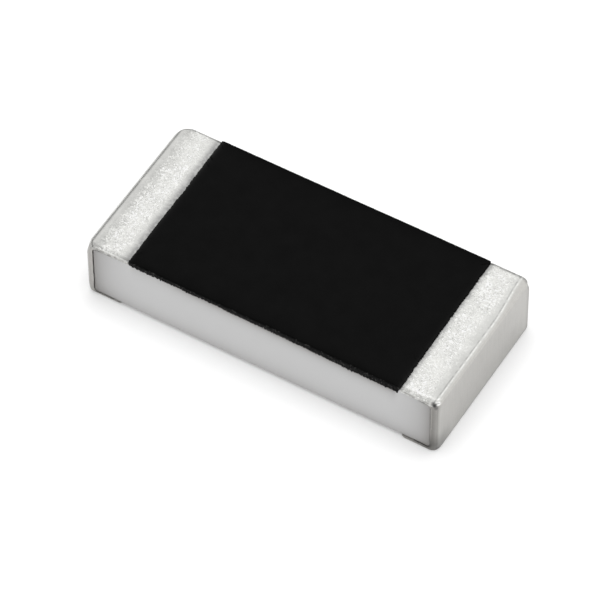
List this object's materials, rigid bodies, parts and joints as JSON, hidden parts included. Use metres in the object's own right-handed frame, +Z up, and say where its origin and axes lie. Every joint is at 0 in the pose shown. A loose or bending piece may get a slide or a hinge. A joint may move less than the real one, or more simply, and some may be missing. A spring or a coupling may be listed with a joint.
{
  "type": "chip resistor",
  "caption": "Flat rectangular surface-mount chip resistor: white ceramic body, bare black coat on top, and tin-plated ends that wrap down and under it to be soldered to a board.",
  "frame": {"origin": "centre of the chip's outline, on the plane of its solder faces", "axes": "+X along the chip's length towards its right end, +Y across its width, +Z up through the black coat"},
  "size_m": [0.0032, 0.0014, 0.0006],
  "materials": {
    "alumina": "matte",
    "black_coat": "satin",
    "tin": "satin",
    "nickel": "satin",
    "end_paste": "matte",
    "silver_print": "matte",
    "resistive_film": "matte",
    "glass_coat": "gloss"
  },
  "bodies": {
    "root": {"ceramic_substrate": "alumina", "top_electrode_left": "silver_print", "top_electrode_right": "silver_print", "bottom_electrode_left": "silver_print", "bottom_electrode_right": "silver_print", "resistive_film": "resistive_film", "glass_coat": "glass_coat", "black_overcoat": "black_coat", "end_electrode_left": "end_paste", "end_electrode_right": "end_paste", "nickel_barrier_left": "nickel", "nickel_barrier_right": "nickel", "tin_plating_left": "tin", "tin_plating_right": "tin"}
  },
  "joints": []
}
